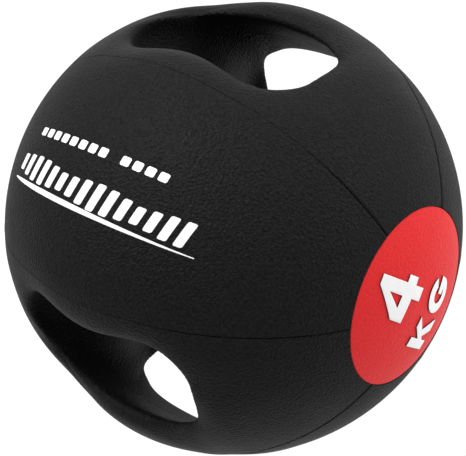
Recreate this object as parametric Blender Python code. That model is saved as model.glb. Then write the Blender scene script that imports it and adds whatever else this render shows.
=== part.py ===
"""Rubber medicine ball with two hand grips, 4 kg.

The ball is a weighted rubber core in two moulded halves, a bladder with its valve, six skin panels that
meet at the seams, and a red weight disc over each pole. +X and -X are the poles, the grips are at +Y and
-Y, the printed front panel faces +Z, and the ball stands on the flat at the middle of the back panel.
Four of the panels are grip panels: each is skin, half of a hand tunnel's lining and half of its bar.
"""

import math

import bmesh
import bpy
from mathutils import Matrix, Vector

# Driving dimensions, metres
RADIUS = 0.120               # outside of the ball
SKIN = 0.004                 # thickness of the skin panels and of the tunnels' lining
GAP = 0.0003                 # clearance between neighbouring pieces
FACET_ALLOWANCE = 0.0005     # flat facets of a round skin dip this far below its vertices
FLAT_DEPTH = 0.0015          # how much of the ball the standing flat takes off
DISC_ANGLE = math.radians(22.7)     # half-angle that a weight disc covers, seen from the centre
DISC_RECESS = 0.0009         # disc face below the skin's face
MARK_THICKNESS = 0.0005      # raised numeral and letters on a disc
NUMERAL_HEIGHT = 0.032       # tall figure above the unit's letters
LETTER_HEIGHT = 0.019
MARK_TURN = 90               # degrees; turns the marks about the poles until their tops face the front
PRINT_LIFT = 0.0002          # underside of the print above the skin
PRINT_THICKNESS = 0.0002
CAVITY = (0.100, 0.060, 0.100)      # half-axes of the hollow in the core
BLADDER_WALL = 0.0015

# Hand tunnel and grip bar, as fractions of the ball's radius
FLOOR_HEIGHT = 0.58          # crest of the tunnel floor above the centre
FLOOR_ROUND = 0.82           # radius of the floor's hump
CORNER_AT = (0.35, 0.69)     # centre of the tunnel's rounded corner
CORNER_ROUND = 0.16
BAR_HALF_WIDTH = 0.26
BAR_CROWN = 0.10             # half-ellipse above the bar's widest line
BAR_BELLY = 0.064            # half-ellipse below it
BAR_PROUD = 0.012            # the envelope's crown clears the ball, which then sets the bar's back
FLARE_FROM = 0.30            # where the bar starts to widen into the ball
FLARE_TO = 0.50
FLARE_WIDTH = 0.24
BAR_REACH = 0.62             # half-length of the bar, into the ball at both ends

# Mesh density
SEAM_AZIMUTHS = [math.radians(30 + 60 * i) for i in range(6)]
PANEL_STEPS = 8              # facets across a panel
POLE_STEPS = 18              # facets along a panel
GRIP_PANEL_DEPTH = 0.45      # how far in a grip panel's blank goes, of the radius; past the tunnel's lining
CORE_SEGMENTS = 24
PLATE_GRID = 0.007           # largest flat on a raised mark

CENTRE_HEIGHT = RADIUS - FLAT_DEPTH
VALVE_DIRECTION = Vector((-math.sin(math.radians(35)), 0, -math.cos(math.radians(35))))
VALVE_SHAFT = 0.0045
VALVE_FLANGE = 0.0090
VALVE_FLANGE_THICKNESS = 0.0020
VALVE_BORE = 0.0020

GRIPS = {"grip_a": 1, "grip_b": -1}     # grip and the side of Y it is on

BLACK_RUBBER = ((0.022, 0.022, 0.024), 0.55)
CORE_RUBBER = ((0.015, 0.015, 0.016), 0.75)
BLADDER_RUBBER = ((0.10, 0.07, 0.05), 0.60)
RED_RUBBER = ((0.78, 0.035, 0.045), 0.45)
WHITE_RUBBER = ((0.85, 0.85, 0.83), 0.45)
WHITE_INK = ((0.88, 0.88, 0.86), 0.50)
VALVE_RUBBER = ((0.03, 0.03, 0.03), 0.50)


def clear_scene():
    for obj in list(bpy.data.objects):
        bpy.data.objects.remove(obj, do_unlink=True)


def material(name, finish):
    colour, roughness = finish
    made = bpy.data.materials.new(name)
    made.use_nodes = True
    shader = made.node_tree.nodes["Principled BSDF"]
    shader.inputs["Base Color"].default_value = (*colour, 1)
    shader.inputs["Roughness"].default_value = roughness
    shader.inputs["Metallic"].default_value = 0
    return made


def finish_mesh(name, bm, parent=None, finish=None):
    """Turn a bmesh into an object with outward normals, its own material and smooth shading."""
    bmesh.ops.remove_doubles(bm, verts=bm.verts, dist=1e-6)
    bmesh.ops.recalc_face_normals(bm, faces=bm.faces)
    mesh = bpy.data.meshes.new(name)
    bm.to_mesh(mesh)
    bm.free()
    mesh.shade_smooth()
    mesh.set_sharp_from_angle(angle=math.radians(35))
    obj = bpy.data.objects.new(name, mesh)
    bpy.context.scene.collection.objects.link(obj)
    obj.parent = parent
    if finish:
        mesh.materials.append(material(name, finish))
    return obj


def as_cutter(obj):
    obj.hide_render = True
    obj.display_type = "WIRE"
    return obj


def boolean(obj, other, operation="DIFFERENCE"):
    modifier = obj.modifiers.new(f"{operation.lower()}_{other.name}", "BOOLEAN")
    modifier.operation = operation
    modifier.object = other
    modifier.solver = "EXACT"


def ball_point(radius, polar, azimuth):
    """polar runs from the equator towards +X; azimuth runs about X, from +Z towards +Y."""
    ring = radius * math.cos(polar)
    return Vector((radius * math.sin(polar), ring * math.sin(azimuth), ring * math.cos(azimuth)))


def grid_faces(bm, rows, closed=False):
    """Join equal rows of vertices with quads. closed joins the last row to the first."""
    pairs = list(zip(rows, rows[1:]))
    if closed:
        pairs.append((rows[-1], rows[0]))
    for lower, upper in pairs:
        for i in range(len(lower) - 1):
            bm.faces.new((lower[i], lower[i + 1], upper[i + 1], upper[i]))


# Skin panels ------------------------------------------------------------------------------------

def skin_panel(name, first_seam, last_seam, inner_radius, parent):
    """One orange-segment panel between two seams, open at both poles for the weight discs."""
    end = math.pi / 2 - DISC_ANGLE - GAP / RADIUS
    bm = bmesh.new()
    sheets = []
    for radius in (RADIUS, inner_radius):
        rows = []
        for i in range(POLE_STEPS + 1):
            polar = end * (2 * i / POLE_STEPS - 1)
            trim = math.asin(GAP / 2 / (radius * math.cos(polar)))
            start, stop = first_seam + trim, last_seam - trim
            rows.append([
                bm.verts.new(ball_point(radius, polar, start + (stop - start) * j / PANEL_STEPS))
                for j in range(PANEL_STEPS + 1)
            ])
        sheets.append(rows)
        grid_faces(bm, rows)
    outer, inner = sheets
    for side in (0, -1):
        grid_faces(bm, [[row[side] for row in outer], [row[side] for row in inner]])
    for end_row in (0, -1):
        grid_faces(bm, [outer[end_row], inner[end_row]])
    return finish_mesh(name, bm, parent, BLACK_RUBBER)


# Hand tunnels and grip bars -----------------------------------------------------------------------

def channel_outline():
    """Half of the tunnel's outline seen from the front, from the floor's crest out to the side wall."""
    points = []
    floor_centre = FLOOR_HEIGHT - FLOOR_ROUND
    for i in range(5):
        x = 0.26 * i / 4
        points.append((x, floor_centre + math.sqrt(FLOOR_ROUND ** 2 - x ** 2)))
    for i in range(6):
        turn = math.radians(-75 + 15 * i)
        points.append((CORNER_AT[0] + CORNER_ROUND * math.cos(turn),
                       CORNER_AT[1] + CORNER_ROUND * math.sin(turn)))
    points.append((CORNER_AT[0] + CORNER_ROUND, 1.2))
    return points


def channel(name, side, wall=0):
    """The tunnel as a prism from front to back, open at the top, and wider all round by a wall."""
    half = []
    points = channel_outline()
    for i, (x, y) in enumerate(points):
        ahead, behind = points[min(i + 1, len(points) - 1)], points[max(i - 1, 0)]
        along = Vector((ahead[0] - behind[0], ahead[1] - behind[1])).normalized()
        if i == 0:
            along = Vector((1, 0))
        half.append((x + along.y * wall / RADIUS, y - along.x * wall / RADIUS))
    outline = half + [(-x, y) for x, y in reversed(half[1:])]
    bm = bmesh.new()
    face = bm.faces.new([bm.verts.new((x * RADIUS, side * y * RADIUS, -1.15 * RADIUS)) for x, y in outline])
    moved = bmesh.ops.extrude_face_region(bm, geom=[face])
    lifted = [v for v in moved["geom"] if isinstance(v, bmesh.types.BMVert)]
    bmesh.ops.translate(bm, verts=lifted, vec=(0, 0, 2.3 * RADIUS))
    return as_cutter(finish_mesh(name, bm))


def bar_section(x):
    """Outline of the grip bar at x: half an ellipse above its widest line and a flatter one below."""
    reach = max(0.0, (abs(x) - FLARE_FROM) / (FLARE_TO - FLARE_FROM))
    half_width = BAR_HALF_WIDTH + FLARE_WIDTH * reach ** 2
    crown = math.sqrt(1 - x * x) + BAR_PROUD
    belly = FLOOR_HEIGHT + 0.256 - 0.2 * x ** 2 - 2.0 * x ** 4
    widest = belly + (crown - belly) * BAR_BELLY / (BAR_BELLY + BAR_CROWN)
    points = []
    for i in range(16):
        turn = 2 * math.pi * i / 16
        height = (crown - widest) if math.sin(turn) > 0 else (widest - belly)
        points.append((widest + height * math.sin(turn), half_width * math.cos(turn)))
    return points


def grip_bar(name, side):
    """The grip bar's envelope, from well inside the ball at one end to the other."""
    stations = [-BAR_REACH + 2 * BAR_REACH * i / 16 for i in range(17)]
    bm = bmesh.new()
    rows = []
    for x in stations:
        ring = [bm.verts.new((x * RADIUS, side * y * RADIUS, z * RADIUS)) for y, z in bar_section(x)]
        rows.append(ring + [ring[0]])
    grid_faces(bm, rows)
    for ring in (rows[0], rows[-1]):
        bm.faces.new(ring[:-1])
    return as_cutter(finish_mesh(name, bm))


def tunnel_cutter(name, side):
    """What is missing from a round ball at one grip: the channel, less the bar across it."""
    cutter = channel(f"{name}_tunnel", side)
    boolean(cutter, grip_bar(f"{name}_bar", side))
    return cutter


# Core, bladder and valve ------------------------------------------------------------------------------

def ellipsoid(bm, half_axes):
    bmesh.ops.create_uvsphere(bm, u_segments=CORE_SEGMENTS, v_segments=CORE_SEGMENTS // 2, radius=1,
                              matrix=Matrix.Diagonal((*half_axes, 1)))


def round_cutter(name, half_axes):
    bm = bmesh.new()
    ellipsoid(bm, half_axes)
    return as_cutter(finish_mesh(name, bm))


def half_space(name, side):
    """A block that covers everything past the parting plane on one side."""
    bm = bmesh.new()
    size = 3 * RADIUS
    bmesh.ops.create_cube(bm, size=size)
    bmesh.ops.translate(bm, verts=bm.verts, vec=(0, 0, side * (size / 2 - GAP / 2)))
    return as_cutter(finish_mesh(name, bm))


def core_space(name):
    """What the core fills: the ball inside the skin, less the lined tunnels."""
    radius = RADIUS - SKIN
    space = round_cutter(name, (radius, radius, radius))
    for side_name, side in GRIPS.items():
        boolean(space, channel(f"{name}_{side_name}", side, SKIN))
    return space


def core_half(name, side, cutters, parent):
    """Half of the heavy rubber core, with a notch for each lined tunnel."""
    radius = RADIUS - SKIN - GAP - FACET_ALLOWANCE
    bm = bmesh.new()
    ellipsoid(bm, (radius, radius, radius))
    core = finish_mesh(name, bm, parent, CORE_RUBBER)
    boolean(core, half_space(f"{name}_parting", -side))
    for cutter in cutters:
        boolean(core, cutter)
    return core


def turned(name, profile, parent=None, finish=None, steps=24):
    """A solid turned about the valve's axis from (radius, distance from the ball's centre) points."""
    bm = bmesh.new()
    rings = []
    for i in range(steps):
        turn = 2 * math.pi * i / steps
        rings.append([bm.verts.new((r * math.cos(turn), r * math.sin(turn), h)) for r, h in profile])
    for a, b in zip(rings, rings[1:] + rings[:1]):
        for i in range(len(profile)):
            j = (i + 1) % len(profile)
            if profile[i][0] or profile[j][0]:
                corners = [a[i], a[j], b[j], b[i]]
                if not profile[j][0]:
                    corners.remove(b[j])
                if not profile[i][0]:
                    corners.remove(b[i])
                bm.faces.new(corners)
    bmesh.ops.transform(bm, matrix=VALVE_DIRECTION.to_track_quat("Z", "Y").to_matrix().to_4x4(), verts=bm.verts)
    return finish_mesh(name, bm, parent, finish)


def bladder(parent):
    outer = [axis - GAP for axis in CAVITY]
    inner = [axis - BLADDER_WALL for axis in outer]
    bm = bmesh.new()
    ellipsoid(bm, outer)
    shell = finish_mesh("bladder", bm, parent, BLADDER_RUBBER)
    boolean(shell, round_cutter("bladder_hollow", inner))
    neck = turned("bladder_neck", [(0, CAVITY[2] - 0.01), (VALVE_BORE, CAVITY[2] - 0.01),
                                   (VALVE_BORE, CAVITY[2] + 0.01), (0, CAVITY[2] + 0.01)])
    boolean(shell, as_cutter(neck))
    return shell


def valve_hole():
    """Stepped hole through core and skin, with room for the housing's flange."""
    base = CAVITY[2] - 0.01
    shoulder = CAVITY[2] + GAP + VALVE_FLANGE_THICKNESS + GAP
    profile = [(0, base), (VALVE_FLANGE + GAP, base), (VALVE_FLANGE + GAP, shoulder),
               (VALVE_SHAFT + GAP, shoulder), (VALVE_SHAFT + GAP, RADIUS + 0.01), (0, RADIUS + 0.01)]
    return as_cutter(turned("valve_hole", profile))


def valve_housing(parent):
    base = CAVITY[2] + GAP
    shoulder = base + VALVE_FLANGE_THICKNESS
    top = RADIUS - 0.0006
    mouth = VALVE_BORE + 0.0012
    profile = [(VALVE_BORE, base), (VALVE_FLANGE, base), (VALVE_FLANGE, shoulder), (VALVE_SHAFT, shoulder),
               (VALVE_SHAFT, top), (mouth, top), (VALVE_BORE, top - 0.0012)]
    return turned("valve_housing", profile, parent, VALVE_RUBBER)


def valve_plug(parent):
    base = CAVITY[2] + 0.003
    width = VALVE_BORE - 0.00015
    profile = [(0, base), (width - 0.0004, base), (width, base + 0.0004), (width, base + 0.010), (0, base + 0.010)]
    return turned("valve_plug", profile, parent, BLADDER_RUBBER, steps=16)


# Weight discs ------------------------------------------------------------------------------------

def weight_disc(name, side, parent):
    """A domed red disc over one pole, as thick as the skin less its recess."""
    rings, segments = 4, 32
    rim = DISC_ANGLE - GAP / RADIUS
    bm = bmesh.new()
    sheets = []
    for radius in (RADIUS - DISC_RECESS, RADIUS - SKIN):
        pole = bm.verts.new((side * radius, 0, 0))
        rows = []
        for i in range(1, rings + 1):
            polar = math.pi / 2 - rim * i / rings
            ring = [bm.verts.new(ball_point(side * radius, polar, 2 * math.pi * j / segments))
                    for j in range(segments)]
            rows.append(ring + [ring[0]])
        for j in range(segments):
            bm.faces.new((pole, rows[0][j], rows[0][j + 1]))
        grid_faces(bm, rows)
        sheets.append(rows)
    grid_faces(bm, [sheets[0][-1], sheets[1][-1]])
    return finish_mesh(name, bm, parent, RED_RUBBER)


# Raised marks ------------------------------------------------------------------------------------

def wrapped_plate(name, outline, hole, base, thickness, place, parent, finish):
    """A flat outline, with an optional hole, made into a thin plate that follows the ball."""
    bm = bmesh.new()
    edges = []
    for loop in [outline] + ([hole] if hole else []):
        verts = [bm.verts.new((x, y, 0)) for x, y in loop]
        edges += [bm.edges.new((a, b)) for a, b in zip(verts, verts[1:] + verts[:1])]
    bmesh.ops.triangle_fill(bm, use_beauty=True, use_dissolve=False, edges=edges)
    for axis in range(2):
        normal = Vector((0, 0, 0))
        normal[axis] = 1
        reach = max(abs(point[axis]) for point in outline)
        lines = int(reach / PLATE_GRID) + 1
        for i in range(-lines, lines + 1):
            geometry = bm.verts[:] + bm.edges[:] + bm.faces[:]
            bmesh.ops.bisect_plane(bm, geom=geometry, dist=1e-5, plane_co=normal * (PLATE_GRID * i), plane_no=normal)
    bmesh.ops.triangulate(bm, faces=bm.faces[:])
    moved = bmesh.ops.extrude_face_region(bm, geom=bm.faces[:])
    lifted = {v for v in moved["geom"] if isinstance(v, bmesh.types.BMVert)}
    for vert in bm.verts:
        radius = base + (thickness if vert in lifted else 0)
        direction = Vector((vert.co.x, vert.co.y, math.sqrt(RADIUS ** 2 - vert.co.x ** 2 - vert.co.y ** 2)))
        vert.co = place @ (direction.normalized() * radius)
    return finish_mesh(name, bm, parent, finish)


def arc(centre, radius, start, stop, steps):
    return [(centre[0] + radius * math.cos(math.radians(start + (stop - start) * i / steps)),
             centre[1] + radius * math.sin(math.radians(start + (stop - start) * i / steps)))
            for i in range(steps + 1)]


def numeral_four(height):
    """Block numeral 4 and its counter, centred on its own middle."""
    w, h, s = 0.78 * height, height, 0.21 * height
    outer = [(0.52 * w, h), (0.80 * w, h), (0.80 * w, 0.42 * h), (w, 0.42 * h), (w, 0.42 * h - s),
             (0.80 * w, 0.42 * h - s), (0.80 * w, 0), (0.52 * w, 0), (0.52 * w, 0.42 * h - s),
             (0, 0.42 * h - s), (0, 0.42 * h)]
    inner = [(0.52 * w, 0.76 * h), (0.52 * w, 0.42 * h), (0.25 * w, 0.42 * h)]
    return [(x - w / 2, y - h / 2) for x, y in outer], [(x - w / 2, y - h / 2) for x, y in inner]


def letter_k(height):
    w, h, s = 0.82 * height, height, 0.26 * height
    points = [(0, 0), (s, 0), (s, 0.36 * h), (0.44 * w, 0.46 * h), (0.68 * w, 0), (w + 0.04 * h, 0),
              (0.64 * w, 0.60 * h), (w, h), (0.66 * w, h), (s, 0.62 * h), (s, h), (0, h)]
    return [(x - w / 2, y - h / 2) for x, y in points]


def letter_g(height):
    r, s = height / 2, 0.25 * height
    outer = arc((0, 0), r, 42, 340, 12)
    inner = arc((0, 0), r - s, 340, 50, 10)
    bar = [(r * 0.98, 0.06 * height), (0.04 * height, 0.06 * height), (0.04 * height, -0.14 * height),
           (r - s, -0.14 * height)]
    return outer + bar + inner[1:]


def disc_marks(side_name, side, parent):
    """The weight on a disc: a numeral with its unit below it."""
    base = RADIUS - DISC_RECESS + GAP
    face = Matrix.Rotation(side * math.pi / 2, 4, "Y")
    upright = face @ Matrix.Rotation(math.radians(MARK_TURN), 4, "Z")

    def set_at(x, y):
        """Tilt that carries a mark from the pole to a place on the disc."""
        distance = math.hypot(x, y)
        return upright @ Matrix.Rotation(distance / RADIUS, 4, Vector((-y, x, 0)))

    outline, hole = numeral_four(NUMERAL_HEIGHT)
    wrapped_plate(f"numeral_4_{side_name}", outline, hole, base, MARK_THICKNESS,
                  set_at(0, 0.0215), parent, WHITE_RUBBER)
    wrapped_plate(f"unit_letter_k_{side_name}", letter_k(LETTER_HEIGHT), None, base, MARK_THICKNESS,
                  set_at(-0.015, -0.014), parent, WHITE_RUBBER)
    wrapped_plate(f"unit_letter_g_{side_name}", letter_g(LETTER_HEIGHT), None, base, MARK_THICKNESS,
                  set_at(0.008, -0.014), parent, WHITE_RUBBER)


# Print on the front panel ----------------------------------------------------------------------------

def rounded_bar(length, height, centre):
    half, r = length / 2 - height / 2, height / 2
    points = arc((half, 0), r, -90, 90, 6) + arc((-half, 0), r, 90, 270, 6)
    return [(x + centre[0], y + centre[1]) for x, y in points]


def wave_band(length, height, swing, centre):
    """A band that swings up and down once and tapers to both ends."""
    steps = 16
    upper, lower = [], []
    for i in range(steps + 1):
        along = i / steps
        x = (along - 0.5) * length
        middle = swing * math.sin(2 * math.pi * along)
        half = max(0.0006, height / 2 * math.sin(math.pi * along))
        upper.append((x, middle + half))
        lower.append((x, middle - half))
    return [(x + centre[0], y + centre[1]) for x, y in upper + lower[::-1]]


def front_print(parent):
    base = RADIUS + PRINT_LIFT
    place = Matrix.Identity(4)
    marks = {
        "print_line_long": rounded_bar(0.054, 0.005, (-0.028, 0.011)),
        "print_line_short": rounded_bar(0.031, 0.005, (0.0205, 0.011)),
        "print_wave": wave_band(0.130, 0.016, 0.006, (-0.0045, -0.0095)),
    }
    for name, outline in marks.items():
        wrapped_plate(name, outline, None, base, PRINT_THICKNESS, place, parent, WHITE_INK)


def main():
    clear_scene()
    ball = bpy.data.objects.new("ball_centre", None)
    ball.location = (0, 0, CENTRE_HEIGHT)
    bpy.context.scene.collection.objects.link(ball)

    tunnels = {grip: tunnel_cutter(grip, side) for grip, side in GRIPS.items()}
    inside = core_space("core_space")
    hole = valve_hole()

    names = ["grip_a_front_panel", "grip_a_back_panel", "back_panel", "grip_b_back_panel",
             "grip_b_front_panel", "front_panel"]
    panels = {}
    for name, first_seam in zip(names, SEAM_AZIMUTHS):
        grip = name[:6]
        inner_radius = GRIP_PANEL_DEPTH * RADIUS if grip in GRIPS else RADIUS - SKIN
        panel = skin_panel(name, first_seam, first_seam + math.radians(60), inner_radius, ball)
        if grip in GRIPS:
            boolean(panel, inside)
            boolean(panel, tunnels[grip])
        panels[name] = panel
    boolean(panels["back_panel"], hole)

    bm = bmesh.new()
    bmesh.ops.create_cube(bm, size=RADIUS)
    bmesh.ops.translate(bm, verts=bm.verts, vec=(0, 0, -RADIUS / 2 - CENTRE_HEIGHT))
    boolean(panels["back_panel"], as_cutter(finish_mesh("standing_flat", bm)))

    hollow = round_cutter("core_hollow", CAVITY)
    notches = [channel(f"{grip}_notch", side, SKIN + GAP) for grip, side in GRIPS.items()]
    core_half("core_front_half", 1, [hollow, *notches], ball)
    core_half("core_back_half", -1, [hollow, *notches, hole], ball)
    bladder(ball)
    valve_housing(ball)
    valve_plug(ball)

    for side_name, side in (("right", 1), ("left", -1)):
        weight_disc(f"weight_disc_{side_name}", side, ball)
        disc_marks(side_name, side, ball)
    front_print(ball)

    cutters = [obj for obj in bpy.data.objects if obj.type == "MESH" and obj.hide_render]
    for cutter in cutters:
        cutter.parent = ball


main()
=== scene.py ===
"""Looks of the rubber medicine ball with two hand grips: fine surfaces, materials, camera and lights.

Shapes are worked out in radii of the ball from its centre, then placed where the CAD frame says. polar runs
from the equator towards +X, azimuth runs about X from +Z towards +Y, and both are in radians.
"""

import math

import bmesh
import bpy
import numpy as np
from mathutils import Matrix, Vector


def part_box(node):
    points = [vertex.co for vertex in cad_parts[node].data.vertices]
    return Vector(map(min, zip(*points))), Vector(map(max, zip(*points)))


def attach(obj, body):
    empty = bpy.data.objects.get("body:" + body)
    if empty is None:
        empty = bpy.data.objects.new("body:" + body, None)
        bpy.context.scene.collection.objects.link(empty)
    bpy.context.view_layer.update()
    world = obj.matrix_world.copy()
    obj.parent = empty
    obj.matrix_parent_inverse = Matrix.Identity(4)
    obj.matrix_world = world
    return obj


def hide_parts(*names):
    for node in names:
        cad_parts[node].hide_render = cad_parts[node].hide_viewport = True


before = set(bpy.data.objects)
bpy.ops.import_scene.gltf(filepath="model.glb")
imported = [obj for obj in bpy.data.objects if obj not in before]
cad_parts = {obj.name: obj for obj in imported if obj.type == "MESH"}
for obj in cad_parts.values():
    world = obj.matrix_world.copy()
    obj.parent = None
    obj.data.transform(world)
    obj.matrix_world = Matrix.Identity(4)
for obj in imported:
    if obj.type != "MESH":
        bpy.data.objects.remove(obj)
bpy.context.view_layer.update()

# Places from the frame ------------------------------------------------------------------------------

disc_low, disc_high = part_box("weight_disc_right")
CENTRE = Vector((0, 0, (disc_low.z + disc_high.z) / 2))
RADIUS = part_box("front_panel")[1].z - CENTRE.z
MM = 0.001 / RADIUS                  # one millimetre, in radii of the ball

DISC_ANGLE = math.radians(22.7)      # half-angle of a weight disc
PANEL_END = math.pi / 2 - DISC_ANGLE # polar angle where the panels end
SEAM = math.radians(30)              # half of a panel's width in azimuth
SHELL = 1.7 * MM                     # thickness of the modelled skin
SEAM_GAP = 0.09 * MM                 # from a seam's middle to the panel beside it
GROOVE = 1.40 * MM                   # radius of a panel's rounded edge where the seam is open
HAIRLINE = 0.16 * MM                 # the same where the seam is nearly closed
EDGE_LIFT = 0.36 * MM                # how far the plain panels' edges stand up at an open seam
EDGE_LIFT_WIDTH = 1.3 * MM
DISC_RECESS = 0.25 * MM              # disc face below the skin's face
DISC_EDGE = 0.3 * MM                 # radius of the rounded edges between disc and skin
MARK_HEIGHT = 0.8 * MM               # raised numeral and letters
PRINT_HEIGHT = 0.14 * MM
VALVE_TILT = math.radians(35)        # from straight down towards -X
VALVE_HOLE = 0.0048                  # radius of the skin's hole round the valve, metres


def ease(low, high, value):
    """Smooth step from 0 at low to 1 at high."""
    t = np.clip((value - low) / (high - low), 0, 1)
    return t * t * (3 - 2 * t)


def round_max(a, b, reach):
    """The larger of a and b, with the corner between them rounded over reach."""
    h = np.clip(0.5 + 0.5 * (a - b) / reach, 0, 1)
    return a * h + b * (1 - h) + reach * h * (1 - h)


# The ball's surface -----------------------------------------------------------------------------------

TUNNEL_FLOOR = 0.5465        # crest of the tunnel's floor before its corners are rounded in
FLOOR_ROUND = 0.3685         # radius of the floor's hump
FLOOR_RISE = -0.0763         # how the crest changes towards the mouths, per unit of z squared
FLOOR_BLEND = 0.116          # rounding between floor and end walls
END_AT = (0.2164, 0.8079)    # where the rounded end walls are centred halfway through, across and up
END_ROUND = 0.3482           # radius of the rounded end walls
END_LEAN = 0.497             # how far the end walls lean out, per unit of height
LEAN_LEVEL = 0.7             # height about which they lean
END_FLARE = 1.3777           # how the end walls part towards the mouths, per unit of z squared
BAR_BELLY = 0.9035           # underside of the bar, before rounding
BAR_ARCH = 0.4316            # how fast the underside drops away to both ends
BAR_ARCH_FLARE = 0.3983      # how much faster towards the mouths, per unit of z squared
BELLY_RISE = -0.1359         # how the underside changes towards the mouths
BAR_BLEND = 0.583            # rounding between the underside and the end walls
LIP_ROUND = 0.0827           # rounding of the tunnel's lip
BAR_ROUND = 0.2196           # rounding along the bar's edges
BAR_ROUND_UP = (0.6461, 0.9314)     # heights between which the lip's rounding turns into the bar's
BAR_ROUND_OUT = (0.3834, 0.7999)    # the same towards the bar's ends
SHOULDER_LIFT = 0.027        # the ball stands this far proud over the bars
SHOULDER_UP = (0.45, 0.8)    # heights between which that lift comes in
SHOULDER_OUT = (0.3, 0.6)    # and how far across it fades out again


def surface(points):
    """Roughly the distance outside the ball's surface, negative inside the rubber."""
    x, y, z = np.abs(points[..., 0]), np.abs(points[..., 1]), points[..., 2]
    over_bar = ease(*SHOULDER_UP, y) * (1 - ease(*SHOULDER_OUT, x))
    ball = np.sqrt(x * x + y * y + z * z) - 1 - SHOULDER_LIFT * over_bar
    across = x - END_LEAN * (y - LEAN_LEVEL) - END_AT[0] - END_FLARE * z * z
    down = END_AT[1] - y
    outside = np.hypot(np.maximum(across, 0), np.maximum(down, 0))
    channel = outside + np.minimum(np.maximum(across, down), 0) - END_ROUND
    floor = FLOOR_ROUND - np.hypot(x, y + FLOOR_ROUND - TUNNEL_FLOOR - FLOOR_RISE * z * z)
    hollow = round_max(channel, floor, FLOOR_BLEND)
    belly = BAR_BELLY + BELLY_RISE * z * z - (BAR_ARCH + BAR_ARCH_FLARE * z * z) * x * x
    hollow = round_max(hollow, y - belly, BAR_BLEND)
    on_bar = ease(*BAR_ROUND_UP, y) * (1 - ease(*BAR_ROUND_OUT, x))
    return round_max(ball, -hollow, LIP_ROUND + (BAR_ROUND - LIP_ROUND) * on_bar)


def outward(points):
    """Gradient of the field."""
    step = 1e-4
    parts = []
    for axis in range(3):
        shift = np.zeros(3)
        shift[axis] = step
        parts.append((surface(points + shift) - surface(points - shift)) / (2 * step))
    return np.stack(parts, -1)


LONGEST_MOVE = 0.03          # of a point in one round of settling


def settle(points, level=0.0, rounds=12):
    """Move points along the gradient until the field there is level."""
    for _ in range(rounds):
        slope = outward(points)
        miss = surface(points) - level
        move = np.clip(miss / (slope ** 2).sum(-1), -LONGEST_MOVE, LONGEST_MOVE)
        points = points - move[..., None] * slope
    return points


def on_ball(polar, azimuth):
    """Points on a round ball of radius 1."""
    polar, azimuth = np.broadcast_arrays(polar, azimuth)
    ring = np.cos(polar)
    return np.stack([np.sin(polar), ring * np.sin(azimuth), ring * np.cos(azimuth)], -1)


# Meshes ---------------------------------------------------------------------------------------------

SHARP_EDGE = 40                      # degrees between faces from which an edge is drawn sharp
SHARP_MARK_EDGE = 30                 # the same on the raised marks and the print


def object_from(name, points, faces, *materials, face_slots=None, sharp=SHARP_EDGE):
    """A piece from points in radii from the ball's centre, riding on the ball."""
    mesh = bpy.data.meshes.new(name)
    mesh.from_pydata((np.asarray(points) * RADIUS + np.array(CENTRE)).tolist(), [], faces)
    bm = bmesh.new()
    bm.from_mesh(mesh)
    bmesh.ops.recalc_face_normals(bm, faces=bm.faces)
    bm.to_mesh(mesh)
    bm.free()
    for each in materials:
        mesh.materials.append(each)
    if face_slots is not None:
        mesh.polygons.foreach_set("material_index", face_slots)
    mesh.shade_smooth()
    mesh.set_sharp_from_angle(angle=math.radians(sharp))
    piece = bpy.data.objects.new(name, mesh)
    bpy.context.scene.collection.objects.link(piece)
    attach(piece, "root")
    return piece


def quads(rows, columns, start=0, closed=False):
    """Faces of a grid whose points are numbered row by row from start."""
    faces = []
    for r in range(rows - 1):
        for c in range(columns if closed else columns - 1):
            d = (c + 1) % columns
            a, b = start + r * columns, start + (r + 1) * columns
            faces.append((a + c, a + d, b + d, b + c))
    return faces


# Distances from a piece's edge at which its rounding gets points
EDGE_STEPS = np.array([0, 0.02, 0.07, 0.16, 0.3, 0.5, 0.75, 1.1, 1.7, 2.8]) * MM


def edge_steps(length, middle_steps):
    """Places from 0 to length that crowd towards both ends, to carry rounded edges."""
    middle = np.linspace(EDGE_STEPS[-1], length - EDGE_STEPS[-1], middle_steps)[1:-1]
    return np.concatenate([EDGE_STEPS, middle, length - EDGE_STEPS[::-1]])


def drop(distance, radius):
    """How far a rounded edge has fallen away at some distance from the edge."""
    inset = np.clip(radius - distance, 0, radius)
    return radius - np.sqrt(np.maximum(radius ** 2 - inset ** 2, 0))


SEAM_OPENS = {"upper": 0.62, "lower": 0.25, "side": 0.38}       # how far out each kind of seam opens
OPENS_RIGHT = (-0.03, 0.22)          # stretch over which it opens towards the right disc, from there
OPENS_LEFT = (0, 0.3)                # the same towards the left disc
LEFT_SHARE = 0.55                    # how open it gets on the left, of the right


def seam_opening(x, seam):
    """Radius of the panels' edges along a seam: open towards the discs, nearly closed in between."""
    at = SEAM_OPENS[seam]
    right = ease(at + OPENS_RIGHT[0], at + OPENS_RIGHT[1], x)
    left = ease(at + OPENS_LEFT[0], at + OPENS_LEFT[1], -x)
    return HAIRLINE + (GROOVE - HAIRLINE) * np.maximum(right, LEFT_SHARE * left)


THICKEST = 1.6                       # times SHELL; an inner point further off than this has strayed
THIN_SHELL = 0.4                     # times SHELL; how far inside it is put instead


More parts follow.
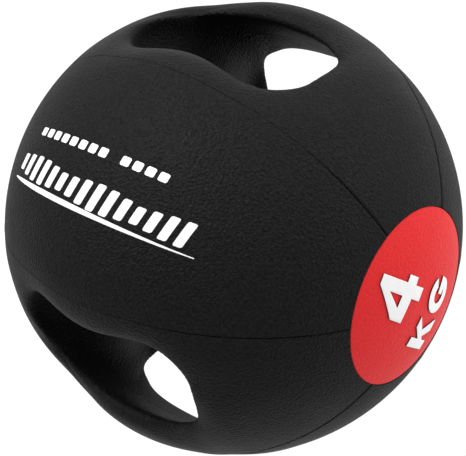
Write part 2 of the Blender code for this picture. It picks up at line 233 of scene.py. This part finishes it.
def finish_skin(points, edges):
    """Round the panel's edges off and give it an inner side. edges holds (distance, radius, lift) arrays."""
    slope = outward(points)
    normals = slope / np.linalg.norm(slope, axis=-1, keepdims=True)
    fall, rise = np.zeros(points.shape[:-1]), np.zeros(points.shape[:-1])
    for distance, radius, lift in edges:
        share = (radius - HAIRLINE) / (GROOVE - HAIRLINE)
        fall = np.maximum(fall, drop(distance, radius))
        rise = np.maximum(rise, lift * share * np.exp(-(distance / EDGE_LIFT_WIDTH) ** 2))
    inner = settle(points - normals * SHELL, -SHELL)
    strayed = np.linalg.norm(inner - points, axis=-1) > THICKEST * SHELL
    inner[strayed] = (points - THIN_SHELL * SHELL * normals)[strayed]
    return points + normals * (rise - fall)[..., None], inner


PANEL_STEPS = (120, 44)              # points along and across a plain panel, between its rounded edges


def plain_panel(name, facing, material):
    """The front or the back panel: an orange segment with no grip in it."""
    polar = edge_steps(2 * PANEL_END, PANEL_STEPS[0]) - PANEL_END
    azimuth = edge_steps(2 * SEAM - 2 * SEAM_GAP, PANEL_STEPS[1]) - SEAM + SEAM_GAP
    polar, azimuth = np.meshgrid(polar, azimuth, indexing="ij")
    points = settle(on_ball(polar, azimuth + (0 if facing > 0 else math.pi)))
    seam_of = {1: "upper", -1: "lower"}
    to_disc = PANEL_END - np.abs(polar)
    edges = [(to_disc, np.full_like(polar, DISC_EDGE), 0)]
    for side in (1, -1):
        distance = (SEAM - side * azimuth) * np.cos(polar)
        edges.append((distance, seam_opening(points[..., 0], seam_of[side * facing]), EDGE_LIFT))
    outer, inner = finish_skin(points, edges)
    rows, columns = polar.shape
    count = rows * columns
    faces = quads(rows, columns) + quads(rows, columns, count)
    border = [r * columns for r in range(rows)] + [count - columns + c for c in range(1, columns)]
    border += [r * columns + columns - 1 for r in range(rows - 2, -1, -1)] + list(range(columns - 2, 0, -1))
    for a, b in zip(border, border[1:] + border[:1]):
        faces.append((a, b, b + count, a + count))
    both = np.concatenate([outer.reshape(-1, 3), inner.reshape(-1, 3)])
    return object_from(name, both, faces, material)


NET_PITCH = 1.5 * MM                 # size of the quads of a grip's skin
NET_LOW, NET_HIGH = (-0.974, 0.136, -0.074), (0.98, 1.06, 0.94)     # box that holds one grip quarter
RELAXING = 6                         # rounds that even the quads out
CUT_SNAP = 0.02 * MM                 # a cut goes through points closer to it than this
BAR_END = (0.36, 0.46)               # across, where the bar ends and its parting line opens into a seam
SEAM_NORMAL = Vector((0, math.cos(SEAM), -math.sin(SEAM)))      # from the seam into the grip quarter


def surface_net():
    """Even quads over the ball's surface where one grip quarter lies."""
    axes = [np.arange(low, high, NET_PITCH) for low, high in zip(NET_LOW, NET_HIGH)]
    inside = surface(np.stack(np.meshgrid(*axes, indexing="ij"), -1)) < 0
    corners = inside.astype(int)
    for axis in range(3):
        pairs = np.moveaxis(corners, axis, 0)
        corners = np.moveaxis(pairs[1:] + pairs[:-1], 0, axis)
    crossed = (corners > 0) & (corners < 8)
    number = np.cumsum(crossed.ravel()).reshape(crossed.shape) - 1
    points = settle(np.array(NET_LOW) + (np.argwhere(crossed) + 0.5) * NET_PITCH)
    faces = []
    for axis in range(3):
        solid, cell = np.moveaxis(inside, axis, 0), np.moveaxis(number, axis, 0)
        i, j, k = np.nonzero((solid[1:] != solid[:-1])[:, 1:-1, 1:-1])
        ring = [cell[i, j, k], cell[i, j + 1, k], cell[i, j + 1, k + 1], cell[i, j, k + 1]]
        faces.append(np.stack(ring, -1))
    return points, np.concatenate(faces)


def relaxed(points, faces):
    """Even out the spacing of a net's points without leaving the surface."""
    start, end = faces.ravel(), np.roll(faces, 1, axis=1).ravel()
    count = len(points)
    neighbours = np.bincount(start, minlength=count) + np.bincount(end, minlength=count)
    for _ in range(RELAXING):
        total = [np.bincount(start, points[end, axis], count) + np.bincount(end, points[start, axis], count)
                 for axis in range(3)]
        middle = np.stack(total, -1) / np.maximum(neighbours, 1)[:, None]
        points = settle(0.5 * (points + middle), rounds=3)
    return points


def grip_quarter():
    """Points and faces of one grip quarter's surface, cut to its edges and finer beside them."""
    points, faces = surface_net()
    mesh = bpy.data.meshes.new("grip_quarter")
    mesh.from_pydata(relaxed(points, faces).tolist(), [], faces.tolist())
    bm = bmesh.new()
    bm.from_mesh(mesh)
    bpy.data.meshes.remove(mesh)
    end = math.sin(PANEL_END)
    sides = [(SEAM_NORMAL, SEAM_NORMAL * SEAM_GAP), (Vector((0, 0, 1)), Vector((0, 0, SEAM_GAP))),
             (Vector((-1, 0, 0)), Vector((end, 0, 0))), (Vector((1, 0, 0)), Vector((-end, 0, 0)))]
    for normal, place in sides:
        for step in EDGE_STEPS:
            geometry = bm.verts[:] + bm.edges[:] + bm.faces[:]
            bmesh.ops.bisect_plane(bm, geom=geometry, dist=CUT_SNAP, plane_co=place + normal * step,
                                   plane_no=normal, clear_inner=bool(step == 0))
    bmesh.ops.delete(bm, geom=[v for v in bm.verts if not v.link_faces], context="VERTS")
    bm.verts.index_update()
    points = np.array([v.co for v in bm.verts])
    faces = [tuple(v.index for v in f.verts) for f in bm.faces]
    border = [(e.verts[0].index, e.verts[1].index) for e in bm.edges if len(e.link_faces) == 1]
    bm.free()
    return settle(points, rounds=4), faces, border


def grip_panel(name, quarter, side, facing, material):
    """A quarter of the grips' rubber: skin round a mouth of a tunnel, half the lining and half the bar."""
    points, faces, border = quarter
    from_seam = points @ np.array(SEAM_NORMAL) - SEAM_GAP
    to_disc = PANEL_END - np.abs(np.arcsin(points[:, 0] / np.linalg.norm(points, axis=-1)))
    seam = "upper" if side * facing > 0 else "lower"
    bar = 1 - ease(*BAR_END, np.abs(points[:, 0]))
    parting = seam_opening(points[:, 0], "side") * (1 - bar) + HAIRLINE * bar
    edges = [(from_seam, seam_opening(points[:, 0], seam), 0),
             (points[:, 2] - SEAM_GAP, parting, 0),
             (to_disc, np.full(len(points), DISC_EDGE), 0)]
    outer, inner = finish_skin(points, edges)
    total = len(points)
    shell = faces + [tuple(i + total for i in face) for face in faces]
    shell += [(a, b, b + total, a + total) for a, b in border]
    both = np.concatenate([outer, inner]) * np.array([1, side, facing])
    return object_from(name, both, shell, material)


DISC_GAP = 0.1 * MM                  # between a disc's rim and the skin
DISC_STEPS = 60                      # points across a disc, between its rounded edges
DISC_TURNS = 144                     # points round a disc
DISC_MIDDLE = 0.01                   # angle at the pole that is left to one fan of faces


def weight_disc(name, side, material):
    """A domed disc over one pole with a rounded rim."""
    rim = DISC_ANGLE - DISC_GAP
    angles = rim - edge_steps(2 * rim, DISC_STEPS)
    angles = angles[angles > DISC_MIDDLE]
    turns = np.linspace(0, 2 * math.pi, DISC_TURNS, endpoint=False)
    sheets, faces = [], []
    for level in (1 - DISC_RECESS, 1 - SHELL):
        fall = drop(rim - angles, DISC_EDGE) if level > 1 - SHELL else 0 * angles
        start = sum(len(s) for s in sheets)
        grid = on_ball((math.pi / 2 - angles)[:, None], turns[None, :]) * (level - fall)[:, None, None]
        sheets.append(np.concatenate([grid.reshape(-1, 3), [[level, 0, 0]]]))
        faces += quads(len(angles), len(turns), start, True)
        last = start + (len(angles) - 1) * len(turns)
        pole = start + len(angles) * len(turns)
        faces += [(last + c, last + (c + 1) % len(turns), pole) for c in range(len(turns))]
    offset = len(sheets[0])
    for c in range(len(turns)):
        d = (c + 1) % len(turns)
        faces.append((c, d, d + offset, c + offset))
    return object_from(name, np.concatenate(sheets) * np.array([side, 1, 1]), faces, material)


# Raised marks and print -------------------------------------------------------------------------------

def arc(centre, radius, start, stop, steps):
    """Points of an arc; start and stop are degrees."""
    return [(centre[0] + radius * math.cos(math.radians(start + (stop - start) * i / steps)),
             centre[1] + radius * math.sin(math.radians(start + (stop - start) * i / steps)))
            for i in range(steps + 1)]


def centred(points, width, height):
    """Points whose middle is moved to the origin."""
    return [(x - width / 2, y - height / 2) for x, y in points]


def numeral_four(height):
    """Block numeral 4 and its counter."""
    w, h, s = 0.74 * height, height, 0.22 * height
    outer = [(0.60 * w, h), (0.83 * w, h), (0.83 * w, 0.44 * h), (w, 0.44 * h), (w, 0.44 * h - s),
             (0.83 * w, 0.44 * h - s), (0.83 * w, 0), (0.54 * w, 0), (0.54 * w, 0.44 * h - s),
             (0, 0.44 * h - s), (0, 0.50 * h)]
    inner = [(0.54 * w, 0.76 * h), (0.54 * w, 0.46 * h), (0.27 * w, 0.46 * h)]
    return centred(outer, w, h), centred(inner, w, h)


def letter_k(height):
    """Block letter K."""
    w, h, s = 0.86 * height, height, 0.27 * height
    return centred([(0, 0), (s, 0), (s, 0.30 * h), (0.42 * w, 0.43 * h), (0.66 * w, 0), (1.04 * w, 0),
                    (0.62 * w, 0.62 * h), (w, h), (0.64 * w, h), (s, 0.60 * h), (s, h), (0, h)], w, h)


def letter_g(height):
    """Round letter G with a short bar."""
    r, s = height / 2, 0.26 * height
    outer = arc((0, 0), r, 40, 335, 48)
    inner = arc((0, 0), r - s, 335, 48, 36)
    bar = [(r * 0.97, 0.06 * height), (0.02 * height, 0.06 * height), (0.02 * height, -0.15 * height),
           (r - s, -0.15 * height)]
    return outer + bar + inner[1:]


MERGE = 1e-5                         # points of a plate that are closer than this become one
UPRIGHT = 0.3                        # a face whose normal rises less than this stands upright


def plate_shape(outlines, cell, height, edge):
    """Points (across, up, out) and faces of a plate cut to outlines, with a softened upper edge."""
    bm = bmesh.new()
    edges = []
    for loop in outlines:
        verts = [bm.verts.new((x, y, 0)) for x, y in loop]
        edges += [bm.edges.new((a, b)) for a, b in zip(verts, verts[1:] + verts[:1])]
    bmesh.ops.triangle_fill(bm, use_beauty=True, use_dissolve=False, edges=edges)
    for axis in range(2):
        normal = Vector((axis == 0, axis == 1, 0))
        low = min(v.co[axis] for v in bm.verts)
        high = max(v.co[axis] for v in bm.verts)
        for i in range(math.floor(low / cell) + 1, math.ceil(high / cell)):
            geometry = bm.verts[:] + bm.edges[:] + bm.faces[:]
            bmesh.ops.bisect_plane(bm, geom=geometry, dist=MERGE, plane_co=normal * (cell * i),
                                   plane_no=normal)
    bmesh.ops.dissolve_degenerate(bm, dist=MERGE, edges=bm.edges[:])
    for face in bm.faces:
        if face.normal.z < 0:
            face.normal_flip()
    lower = bm.faces[:]
    moved = bmesh.ops.extrude_face_region(bm, geom=lower, use_keep_orig=True)
    top = [f for f in moved["geom"] if isinstance(f, bmesh.types.BMFace)]
    for vert in {v for f in top for v in f.verts}:
        vert.co.z = height - edge
    if edge:
        for wide, tall in ((0.35, 0.65), (0.65, 0.35)):      # a steep and a shallow step round the edge off
            bmesh.ops.inset_region(bm, faces=top, thickness=wide * edge, depth=tall * edge,
                                   use_even_offset=False, use_boundary=True)
    bm.normal_update()
    bm.verts.index_update()
    points = np.array([v.co for v in bm.verts])
    faces = [tuple(v.index for v in f.verts) for f in bm.faces]
    upright = [abs(f.normal.z) < UPRIGHT for f in bm.faces]
    bm.free()
    return points, faces, upright


def wrap(points, base):
    """Bend flat plates round the top of the ball; across and up become arcs from the pole +Z."""
    along, up, out = points[:, 0], points[:, 1], points[:, 2]
    return on_ball(along, up) * (base + out)[:, None]


MARK_EDGE = 0.12 * MM                # how far a mark's upper edge is softened
MARK_CELL = 2.5 * MM                 # largest flat on a mark before it bends with the disc
MARK_SINK = 0.05 * MM                # how far a mark's foot reaches into the disc


def disc_mark(name, outlines, at, side, face_paint, side_paint):
    """A raised numeral or letter on a disc, upright with the front panel at the top."""
    points, faces, upright = plate_shape(outlines, MARK_CELL, MARK_HEIGHT, MARK_EDGE)
    points = points + np.array([at[0], at[1], 0])
    far = np.hypot(points[:, 0], points[:, 1])
    turn = np.arctan2(points[:, 1], points[:, 0])
    radius = 1 - DISC_RECESS - MARK_SINK + points[:, 2]
    x, ring = np.cos(far) * radius, np.sin(far) * radius
    place = np.stack([side * x, side * ring * np.cos(turn), ring * np.sin(turn)], -1)
    slots = [int(each) for each in upright]
    return object_from(name, place, faces, face_paint, side_paint, face_slots=slots, sharp=SHARP_MARK_EDGE)


def joined(shapes):
    """Several plates as one set of points and faces."""
    points, faces = [], []
    for shape_points, shape_faces, _ in shapes:
        start = sum(len(p) for p in points)
        points.append(shape_points)
        faces += [tuple(i + start for i in face) for face in shape_faces]
    return np.concatenate(points), faces


CORNER = 0.22                        # radius of a printed block's corners, of its smaller side


def rounded_block(centre, width, height, slant):
    """A slanted block with rounded corners."""
    r = CORNER * min(width, height)
    points = []
    for x, y, start in ((1, -1, -90), (1, 1, 0), (-1, 1, 90), (-1, -1, 180)):
        points += arc((x * (width / 2 - r), y * (height / 2 - r)), r, start, start + 90, 5)
    return [(centre[0] + x + slant * y, centre[1] + y) for x, y in points]


PRINT_BASE = 1 + 0.02 * MM           # underside of the print, from the ball's centre
PRINT_CELL = 2 * MM                  # largest flat on a printed block before it bends with the skin
STROKE_CELL = 2.5 * MM               # the same on the emblem's stroke

CAPTION_LEVEL = 11.2 * MM            # above the middle of the front panel
CAPTION_HEIGHT = 4.6 * MM
CAPTION_PITCH = 7.1 * MM             # from one block to the next
CAPTION_FILL = 0.70                  # a block's width, of the pitch
CAPTION_SLANT = 0.12

EMBLEM_AT = -4 * MM                  # its middle, across the front panel
EMBLEM_LENGTH = 122 * MM
EMBLEM_BARS = 15
EMBLEM_FILL = 0.58                   # a bar's width, of the pitch
EMBLEM_SLANT = 0.30
EMBLEM_LEVEL, EMBLEM_SINK = -8.0 * MM, 3.0 * MM      # height of the first bar, and how far the row sinks
BAR_LOWEST, BAR_SWELL = 9 * MM, 5 * MM               # a bar's height at least, and what a swell adds
SWELLS = 2.6                         # swells along the row
STROKE_STEPS = 60
STROKE_LONGER = 6 * MM               # how much longer the stroke is than the row of bars
STROKE_LEVEL, STROKE_SINK, STROKE_RISE = -18.5 * MM, 2.5 * MM, 1.6 * MM    # start, fall, and arch in between
STROKE_TIP, STROKE_BELLY = 0.25 * MM, 1.15 * MM      # half its thickness at the ends, and what is added


def caption(name, start, count, paint):
    """A row of short blocks, one for each letter of a printed word."""
    blocks = [rounded_block((start + CAPTION_PITCH * i, CAPTION_LEVEL), CAPTION_FILL * CAPTION_PITCH,
                            CAPTION_HEIGHT, CAPTION_SLANT) for i in range(count)]
    shapes = [plate_shape([block], PRINT_CELL, PRINT_HEIGHT, 0) for block in blocks]
    points, faces = joined(shapes)
    return object_from(name, wrap(points, PRINT_BASE), faces, paint, sharp=SHARP_MARK_EDGE)


def emblem_bar(along):
    """Outline of the bar at some share of the emblem's length."""
    tall = BAR_LOWEST + BAR_SWELL * abs(math.sin(SWELLS * math.pi * along)) ** 1.5
    centre = ((along - 0.5) * EMBLEM_LENGTH + EMBLEM_AT, EMBLEM_LEVEL - EMBLEM_SINK * along)
    return rounded_block(centre, EMBLEM_FILL * EMBLEM_LENGTH / EMBLEM_BARS, tall, EMBLEM_SLANT)


def emblem_stroke():
    """Outline of the long tapering stroke under the bars."""
    upper, lower = [], []
    for i in range(STROKE_STEPS + 1):
        along = i / STROKE_STEPS
        x = (along - 0.5) * (EMBLEM_LENGTH + STROKE_LONGER) + EMBLEM_AT
        middle = STROKE_LEVEL - STROKE_SINK * along + STROKE_RISE * math.sin(math.pi * along)
        half = STROKE_TIP + STROKE_BELLY * math.sin(math.pi * along ** 0.6)
        upper.append((x, middle + half))
        lower.append((x, middle - half))
    return upper + lower[::-1]


def emblem(name, paint):
    """Slanted bars whose heights swell and shrink along the panel, over a long tapering stroke."""
    bars = [emblem_bar((i + 0.5) / EMBLEM_BARS) for i in range(EMBLEM_BARS)]
    shapes = [plate_shape([bar], PRINT_CELL, PRINT_HEIGHT, 0) for bar in bars]
    shapes.append(plate_shape([emblem_stroke()], STROKE_CELL, PRINT_HEIGHT, 0))
    points, faces = joined(shapes)
    return object_from(name, wrap(points, PRINT_BASE), faces, paint, sharp=SHARP_MARK_EDGE)


# Materials -------------------------------------------------------------------------------------------

def shader(name, colour, roughness, ior=1.45):
    """A material, its node tree and its Principled BSDF."""
    made = bpy.data.materials.new(name)
    made.use_nodes = True
    tree = made.node_tree
    principled = tree.nodes["Principled BSDF"]
    principled.inputs["Base Color"].default_value = (*colour, 1)
    principled.inputs["Roughness"].default_value = roughness
    principled.inputs["IOR"].default_value = ior
    return made, tree, principled


def noise(tree, scale, detail, roughness):
    """Value of a noise fixed to the object's own coordinates."""
    node = tree.nodes.new("ShaderNodeTexNoise")
    node.inputs["Scale"].default_value = scale
    node.inputs["Detail"].default_value = detail
    node.inputs["Roughness"].default_value = roughness
    tree.links.new(tree.nodes["Place"].outputs["Object"], node.inputs["Vector"])
    return node.outputs["Fac"]


NOISE_RANGE = (0.3, 0.7)             # most of a noise's values lie between these


def remap(tree, value, low, high):
    """Spread a noise's values from low to high."""
    node = tree.nodes.new("ShaderNodeMapRange")
    node.inputs["From Min"].default_value = NOISE_RANGE[0]
    node.inputs["From Max"].default_value = NOISE_RANGE[1]
    node.inputs["To Min"].default_value = low
    node.inputs["To Max"].default_value = high
    tree.links.new(value, node.inputs["Value"])
    return node.outputs["Result"]


def tint(tree, value, dark, light):
    """A colour between dark and light."""
    node = tree.nodes.new("ShaderNodeMix")
    node.data_type = "RGBA"
    node.inputs["A"].default_value = (*dark, 1)
    node.inputs["B"].default_value = (*light, 1)
    tree.links.new(value, node.inputs["Factor"])
    return node.outputs["Result"]


def bump(tree, height, distance, below=None):
    """Normals of a relief, distance metres high, over those of the relief below it."""
    node = tree.nodes.new("ShaderNodeBump")
    node.inputs["Strength"].default_value = 1
    node.inputs["Distance"].default_value = distance
    tree.links.new(height, node.inputs["Height"])
    if below:
        tree.links.new(below, node.inputs["Normal"])
    return node.outputs["Normal"]


PATCH_SCALE, SPECK_SCALE, PEBBLE_SCALE = 22, 720, 840        # features per metre, roughly
PATCH_RELIEF = 0.0006                # height of the rubber's unevenness, metres
SPECK_RELIEF, PEBBLE_RELIEF = 2.2, 2.5       # heights of specks and pebbles, times the grain
RUBBED = 0.05                        # how much smoother or rougher the patches are


def rubber(name, dark, light, roughness, grain=0.00009, pebble=1.0, ior=1.45):
    """Moulded rubber: a fine pebbled grain, slight unevenness, and patches rubbed a little smoother."""
    made, tree, principled = shader(name, dark, roughness, ior)
    place = tree.nodes.new("ShaderNodeTexCoord")
    place.name = "Place"
    patches = noise(tree, PATCH_SCALE, 3, 0.6)
    specks = noise(tree, SPECK_SCALE, 2, 0.6)
    tree.links.new(tint(tree, remap(tree, specks, 0, 1), dark, light), principled.inputs["Base Color"])
    rubbed = remap(tree, patches, roughness + RUBBED, roughness - RUBBED)
    tree.links.new(rubbed, principled.inputs["Roughness"])
    cells = tree.nodes.new("ShaderNodeTexVoronoi")
    cells.feature = "SMOOTH_F1"
    cells.inputs["Scale"].default_value = PEBBLE_SCALE
    cells.inputs["Smoothness"].default_value = 0.6
    tree.links.new(place.outputs["Object"], cells.inputs["Vector"])
    coarse = bump(tree, patches, PATCH_RELIEF)
    grained = bump(tree, specks, grain * SPECK_RELIEF, coarse)
    if pebble:
        grained = bump(tree, cells.outputs["Distance"], grain * PEBBLE_RELIEF * pebble, grained)
    tree.links.new(grained, principled.inputs["Normal"])
    return made


WEAR_SCALE, INK_SCALE = 140, 620     # features per metre, roughly
INK_RELIEF = 0.00006                 # height of the ink's grain, metres
WORN = 0.96                          # share of its brightness that worn ink keeps


def paint(name, colour, roughness):
    """Ink or paint on rubber: even colour over the rubber's grain."""
    made, tree, principled = shader(name, colour, roughness)
    place = tree.nodes.new("ShaderNodeTexCoord")
    place.name = "Place"
    worn = noise(tree, WEAR_SCALE, 3, 0.6)
    tree.links.new(tint(tree, remap(tree, worn, 0, 1), [c * WORN for c in colour], colour),
                   principled.inputs["Base Color"])
    tree.links.new(remap(tree, worn, roughness + 0.06, roughness - 0.04), principled.inputs["Roughness"])
    tree.links.new(bump(tree, noise(tree, INK_SCALE, 2, 0.6), INK_RELIEF), principled.inputs["Normal"])
    return made


BLACK = rubber("black_rubber", (0.0036, 0.0036, 0.0038), (0.0112, 0.0112, 0.0115), 0.56, 0.00019, ior=1.17)
CORE = rubber("core_rubber", (0.006, 0.006, 0.006), (0.009, 0.009, 0.009), 0.75, 0.0001, 0, 1.2)
BROWN = rubber("bladder_rubber", (0.09, 0.06, 0.045), (0.13, 0.09, 0.06), 0.6, 0.00004, 0)
VALVE = rubber("valve_rubber", (0.028, 0.028, 0.028), (0.034, 0.034, 0.034), 0.42, 0.00002, 0)
RED = rubber("red_rubber", (0.64, 0.018, 0.020), (0.72, 0.024, 0.026), 0.50, 0.00010, 0.8, ior=1.2)
WHITE_FACE = paint("white_face", (0.86, 0.86, 0.86), 0.5)
WHITE_PRINT = paint("white_print", (0.86, 0.86, 0.86), 0.5)
MARK_SIDE = rubber("mark_side", (0.02, 0.02, 0.02), (0.03, 0.02, 0.02), 0.55, 0.00003, 0)


# The ball --------------------------------------------------------------------------------------------

NUMERAL_HEIGHT = 32 * MM
LETTER_HEIGHT = 19 * MM
ROUND_OVERSHOOT = 0.5 * MM           # how much taller a round letter is drawn
NUMERAL_AT = (-1 * MM, 21.5 * MM)    # middles of the marks, across and up from the pole
LETTER_K_AT = (-14.5 * MM, -13.5 * MM)
LETTER_G_AT = (6.5 * MM, -13.5 * MM)
LONG_LINE = (-51 * MM, 8)            # where a line of the caption starts, and its number of blocks
SHORT_LINE = (12.5 * MM, 4)


def flatten_foot(panel):
    """Press the ball's lowest stretch flat on the floor."""
    for vert in panel.data.vertices:
        vert.co.z = max(vert.co.z, 0.0)


def valve_hole(panel):
    """Open the back skin over the valve, as the CAD part has it."""
    axis = Vector((-math.sin(VALVE_TILT), 0, -math.cos(VALVE_TILT)))
    bm = bmesh.new()
    bmesh.ops.create_cone(bm, cap_ends=True, segments=64, radius1=VALVE_HOLE, radius2=VALVE_HOLE,
                          depth=RADIUS / 4)
    mesh = bpy.data.meshes.new("valve_hole")
    bm.to_mesh(mesh)
    bm.free()
    cutter = bpy.data.objects.new("valve_hole", mesh)
    turn = axis.to_track_quat("Z", "Y").to_matrix().to_4x4()
    cutter.matrix_world = Matrix.Translation(CENTRE + axis * RADIUS) @ turn
    bpy.context.scene.collection.objects.link(cutter)
    cut = panel.modifiers.new("valve_hole", "BOOLEAN")
    cut.operation = "DIFFERENCE"
    cut.solver = "EXACT"
    cut.object = cutter
    shapes = bpy.context.evaluated_depsgraph_get()
    panel.data = bpy.data.meshes.new_from_object(panel.evaluated_get(shapes))
    panel.modifiers.clear()
    bpy.data.objects.remove(cutter)
    panel.data.set_sharp_from_angle(angle=math.radians(SHARP_EDGE))


def build_grips():
    """The grips' skin in four quarters, two to a grip, all from one shape."""
    grips = {"grip_a": 1, "grip_b": -1}
    quarter = grip_quarter()
    for grip, side in grips.items():
        for face_name, facing in (("front", 1), ("back", -1)):
            node = f"{grip}_{face_name}_panel"
            panel = grip_panel(f"{grip}_{face_name}_skin", quarter, side, facing, BLACK)
            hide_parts(node)


def build_plain_panels():
    """The panels between the grips."""
    for face_name, facing in (("front", 1), ("back", -1)):
        panel = plain_panel(f"{face_name}_skin", facing, BLACK)
        if facing < 0:
            flatten_foot(panel)
            valve_hole(panel)
        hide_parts(f"{face_name}_panel")


def build_discs():
    """The weight discs with their raised marks."""
    marks = {"numeral_4": (numeral_four(NUMERAL_HEIGHT), NUMERAL_AT),
             "unit_letter_k": ([letter_k(LETTER_HEIGHT)], LETTER_K_AT),
             "unit_letter_g": ([letter_g(LETTER_HEIGHT + ROUND_OVERSHOOT)], LETTER_G_AT)}
    for end, side in (("right", 1), ("left", -1)):
        disc = weight_disc(f"red_disc_{end}", side, RED)
        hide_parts(f"weight_disc_{end}")
        for mark, (outlines, at) in marks.items():
            raised = disc_mark(f"raised_{mark}_{end}", outlines, at, side, WHITE_FACE, MARK_SIDE)
            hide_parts(f"{mark}_{end}")


def build_print():
    """The print on the front panel."""
    prints = {"print_line_long": caption("caption_long", *LONG_LINE, WHITE_PRINT),
              "print_line_short": caption("caption_short", *SHORT_LINE, WHITE_PRINT),
              "print_wave": emblem("emblem_bars", WHITE_PRINT)}
    for node, piece in prints.items():
        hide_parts(node)


def paint_inside():
    """The pieces inside the ball keep their CAD shape and get a material."""
    inside = {"core_front_half": CORE, "core_back_half": CORE, "bladder": BROWN, "valve_plug": VALVE,
              "valve_housing": VALVE}
    for node, material in inside.items():
        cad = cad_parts[node]
        cad.data.materials.clear()
        cad.data.materials.append(material)


# Camera, floor and light --------------------------------------------------------------------------------

CAMERA_BACK = Vector((0.5658, 0.0174, 0.8243)).normalized()     # from the ball to the camera
CAMERA_UP = Vector((-0.3117, 0.9301, 0.1943))
CAMERA_DISTANCE = 6.6                # in radii
CAMERA_LENS = 115.5                  # mm, on a 36 mm sensor
CAMERA_SHIFT = (-0.001717, -0.004721)     # of the frame's width; sets the ball a little off its middle


def add_camera():
    """Set the camera up; gives the directions to its right and up."""
    data = bpy.data.cameras.new("camera")
    data.lens = CAMERA_LENS
    data.sensor_width = 36
    data.shift_x, data.shift_y = CAMERA_SHIFT
    camera = bpy.data.objects.new("camera", data)
    up = (CAMERA_UP - CAMERA_UP.dot(CAMERA_BACK) * CAMERA_BACK).normalized()
    right = up.cross(CAMERA_BACK)
    turn = Matrix((right, up, CAMERA_BACK)).transposed()
    camera.matrix_world = Matrix.Translation(CENTRE + CAMERA_BACK * CAMERA_DISTANCE * RADIUS) @ turn.to_4x4()
    bpy.context.scene.collection.objects.link(camera)
    bpy.context.scene.camera = camera
    return right, up


def add_light(name, direction, distance, size, power):
    """A round lamp aimed at the ball; metres and watts."""
    data = bpy.data.lights.new(name, "AREA")
    data.shape = "DISK"
    data.size = size
    data.energy = power
    light = bpy.data.objects.new(name, data)
    place = CENTRE + direction.normalized() * distance
    light.location = place
    light.rotation_euler = (CENTRE - place).to_track_quat("-Z", "Y").to_euler()
    bpy.context.scene.collection.objects.link(light)


def add_studio(right, up):
    """Soft lights round the camera's view and an even white surround."""
    back = CAMERA_BACK
    add_light("key", -0.75 * right + 0.75 * up + 0.75 * back, 1.1, 0.7, 13)
    add_light("fill", 0.9 * right + 0.5 * up + 0.5 * back, 1.3, 0.9, 9)
    add_light("top", 0.6 * right + 1.0 * up + 0.1 * back, 1.3, 0.8, 6)
    world = bpy.data.worlds.new("studio")
    world.use_nodes = True
    background = world.node_tree.nodes["Background"]
    background.inputs["Color"].default_value = (1, 1, 1, 1)
    background.inputs["Strength"].default_value = 0.5
    bpy.context.scene.world = world
    bpy.context.scene.view_settings.view_transform = "Standard"


def add_floor():
    """A floor that glows nearly white by itself."""
    bm = bmesh.new()
    bmesh.ops.create_grid(bm, x_segments=1, y_segments=1, size=8)
    mesh = bpy.data.meshes.new("floor")
    bm.to_mesh(mesh)
    bm.free()
    made, _, principled = shader("pale_floor", (0.1, 0.1, 0.1), 0.85, 1.1)
    principled.inputs["Emission Color"].default_value = (1, 1, 1, 1)
    principled.inputs["Emission Strength"].default_value = 0.97
    mesh.materials.append(made)
    floor = bpy.data.objects.new("floor", mesh)
    bpy.context.scene.collection.objects.link(floor)


build_grips()
build_plain_panels()
build_discs()
build_print()
paint_inside()
add_studio(*add_camera())
add_floor()
